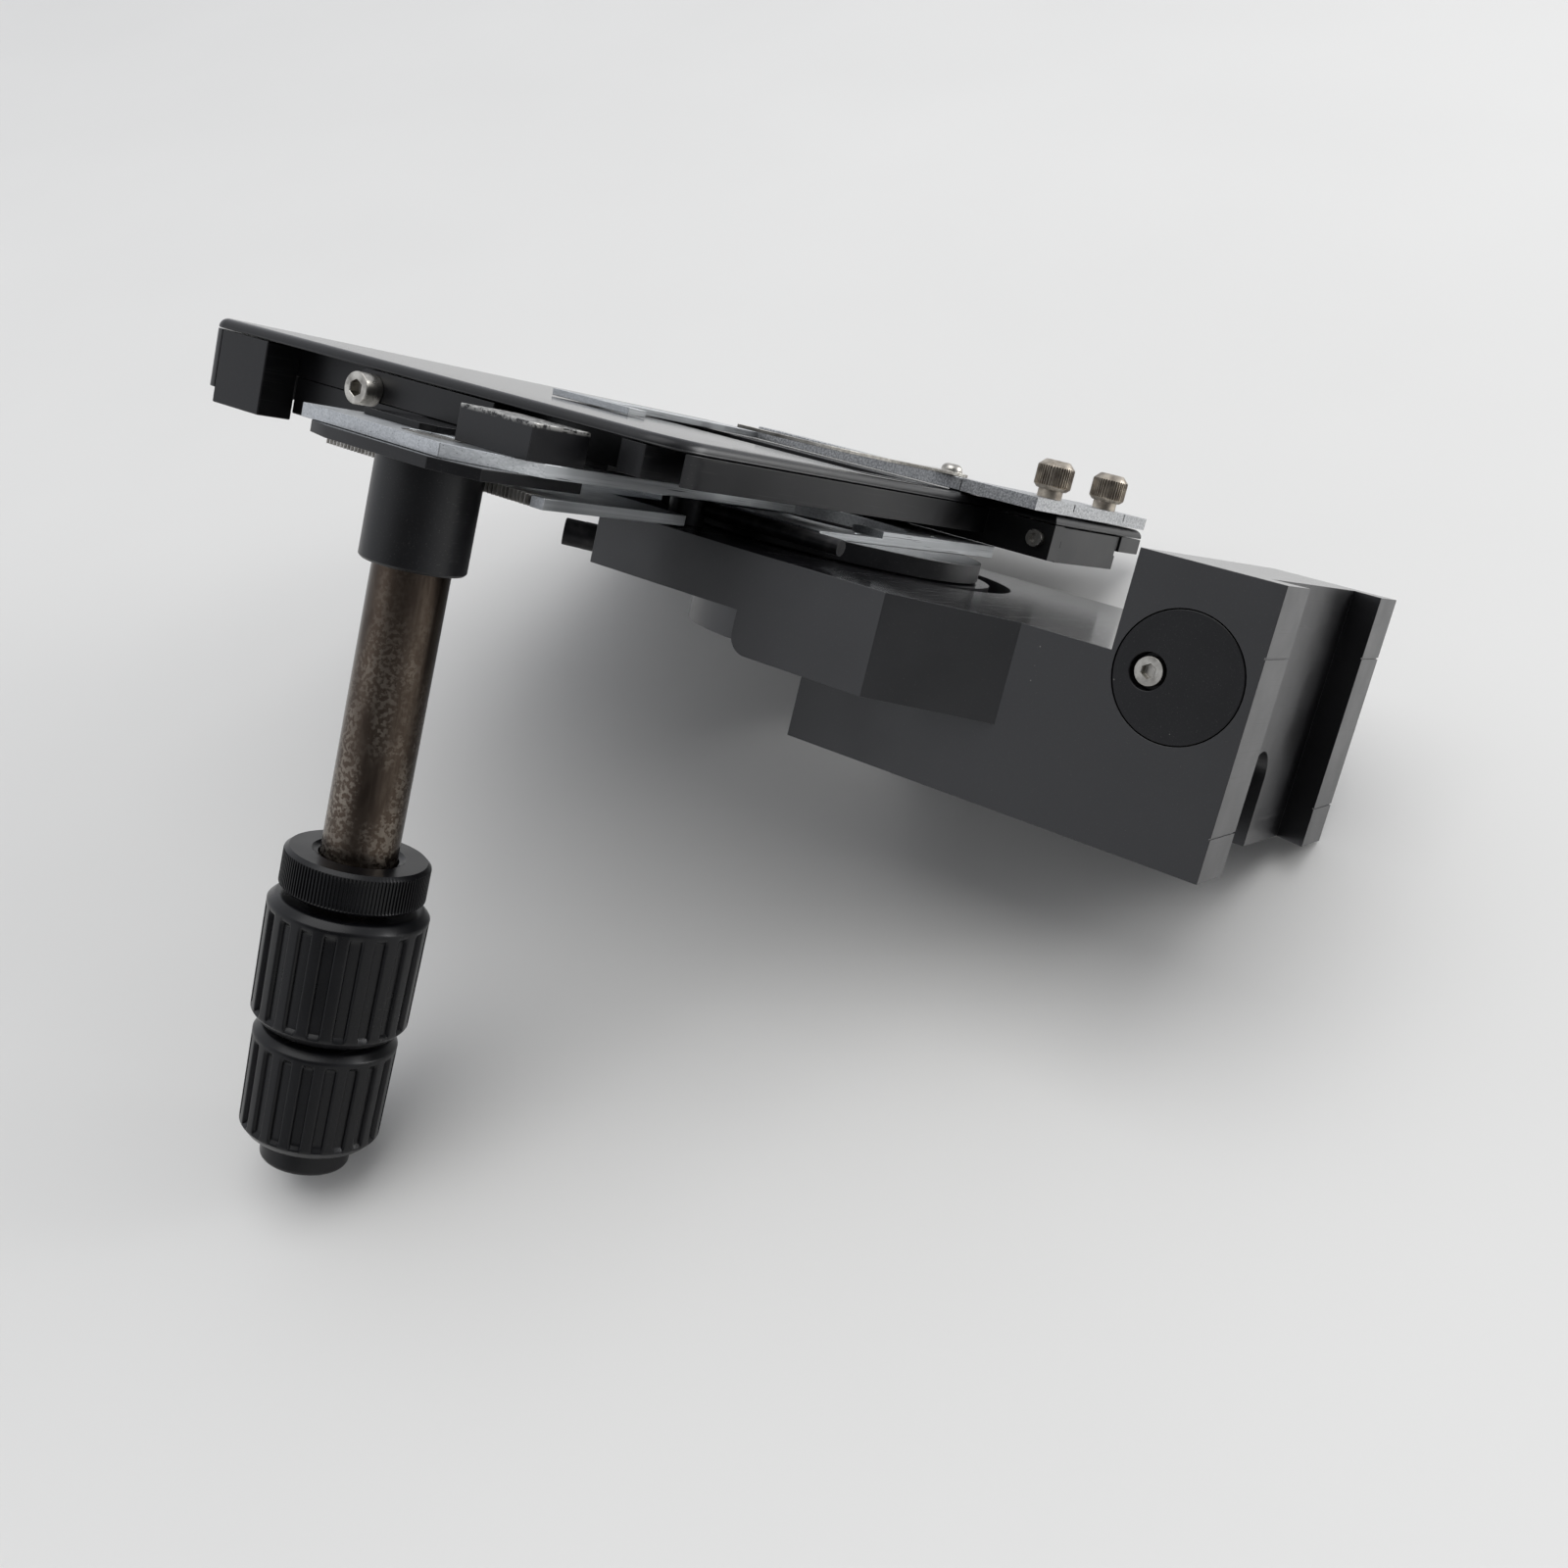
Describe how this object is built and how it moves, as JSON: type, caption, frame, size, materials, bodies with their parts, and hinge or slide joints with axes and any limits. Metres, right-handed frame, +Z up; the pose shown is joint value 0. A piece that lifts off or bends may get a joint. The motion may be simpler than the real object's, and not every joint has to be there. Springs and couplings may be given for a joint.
{
  "type": "microscope mechanical stage",
  "caption": "Microscope XY stage on a dovetail carrier bracket, with a turntable, slide holder and a coaxial knob column hanging at the right.",
  "frame": {"origin": "centre of the carrier's rear dovetail face, level with the top of the dovetail block", "axes": "+Z up along the optical axis, +Y away from the user, +X to the user's right where the knob column hangs"},
  "size_m": [0.2185, 0.228, 0.1678],
  "materials": {
    "cast_black": "satin black paint on cast and machined aluminium",
    "anodised_black": "black anodised aluminium, satin",
    "black_oxide": "black oxide on steel",
    "knob_black": "black anodised, turned and fluted",
    "satin_aluminium": "bead-blasted clear anodised aluminium",
    "bright_steel": "turned bright steel",
    "gear_steel": "milled steel",
    "worn_steel": "worn, tarnished drawn steel tube",
    "bronze": "sintered bronze"
  },
  "bodies": {
    "carrier": {"carrier_bracket": "cast_black", "clamp_cam_disc": "anodised_black", "cam_disc_screw": "bright_steel", "race_ring": "anodised_black", "race_ring_screws": "bright_steel", "bearing_balls": "bright_steel"},
    "turntable": {"turntable_disc": "anodised_black", "turntable_plate": "satin_aluminium", "turntable_screws": "bright_steel", "y_rail": "anodised_black", "rail_screws": "bright_steel", "rack_arm": "satin_aluminium", "y_rack": "gear_steel"},
    "stage": {"stage_top_plate": "anodised_black", "stage_frame": "anodised_black", "left_guide_wall": "anodised_black", "guide_end_screw": "bright_steel", "front_apron": "anodised_black", "front_corner_block": "anodised_black", "side_pad": "anodised_black", "side_pad_screw": "bright_steel", "drive_plate": "satin_aluminium", "bearing_plate": "anodised_black", "column_bush": "bronze", "stop_block": "anodised_black", "drive_spacer": "anodised_black", "side_skirt": "anodised_black", "column_collar": "anodised_black"},
    "cross_slide": {"cross_slide_bar": "anodised_black", "holder_plate": "satin_aluminium", "holder_bar": "satin_aluminium", "slide_arm": "satin_aluminium"},
    "clip": {"clip_finger": "bright_steel"},
    "thumb_screw_right": {"thumb_screw_1": "bright_steel"},
    "thumb_screw_left": {"thumb_screw_2": "bright_steel"},
    "y_drive": {"y_pinion": "gear_steel", "column_tube": "worn_steel", "y_knob": "knob_black"},
    "x_drive": {"drive_shaft": "bright_steel", "x_knob": "knob_black", "knob_end_cap": "knob_black"},
    "tension": {"tension_ring": "knob_black"},
    "lever": {"lock_lever": "black_oxide"},
    "clamp": {"clamp_screw": "black_oxide"}
  },
  "joints": [
    {"name": "turntable_swivel", "type": "hinge", "parent": "carrier", "child": "turntable", "pos_m": [0, -0.116, -0.017], "axis": [0, 0, 1], "range_deg": [-8, 8]},
    {"name": "stage_y_slide", "type": "slide", "parent": "turntable", "child": "stage", "axis": [0, 1, 0], "range_m": [-0.036, 0.014]},
    {"name": "cross_x_slide", "type": "slide", "parent": "stage", "child": "cross_slide", "axis": [1, 0, 0], "range_m": [0, 0.045]},
    {"name": "y_knob_turn", "type": "hinge", "parent": "stage", "child": "y_drive", "pos_m": [0.106, -0.1385, -0.06], "axis": [0, 0, 1], "range_deg": [-262, 104]},
    {"name": "x_knob_turn", "type": "hinge", "parent": "stage", "child": "x_drive", "pos_m": [0.106, -0.1385, -0.08], "axis": [0, 0, 1], "range_deg": [-4, 434]},
    {"name": "tension_ring_turn", "type": "hinge", "parent": "y_drive", "child": "tension", "pos_m": [0.106, -0.1385, -0.095], "axis": [0, 0, 1], "range_deg": [-60, 60]},
    {"name": "lock_lever_turn", "type": "hinge", "parent": "carrier", "child": "lever", "pos_m": [0.0445, -0.125, -0.015], "axis": [0, 0, -1], "range_deg": [0, 15]},
    {"name": "clamp_screw_turn", "type": "hinge", "parent": "carrier", "child": "clamp", "pos_m": [0.046, -0.1457, -0.0274], "axis": [0.6069, -0.7948, 0], "range_deg": [-180, 180]},
    {"name": "clip_finger_swing", "type": "hinge", "parent": "cross_slide", "child": "clip", "pos_m": [-0.031, -0.106, 0.003], "axis": [0, 0, 1], "range_deg": [0, 25], "stiffness_Nm_per_rad": 0.02, "springref_deg": -5.73},
    {"name": "thumb_screw_right_turn", "type": "hinge", "parent": "cross_slide", "child": "thumb_screw_right", "pos_m": [-0.043, -0.085, 0.008], "axis": [0, 0, 1], "range_deg": [-180, 180]},
    {"name": "thumb_screw_left_turn", "type": "hinge", "parent": "cross_slide", "child": "thumb_screw_left", "pos_m": [-0.078, -0.085, 0.008], "axis": [0, 0, 1], "range_deg": [-180, 180]}
  ],
  "couplings": [
    {"joint": "y_knob_turn", "follows": "stage_y_slide", "rad_per_m": 125},
    {"joint": "x_knob_turn", "follows": "cross_x_slide", "rad_per_m": 166.67}
  ]
}
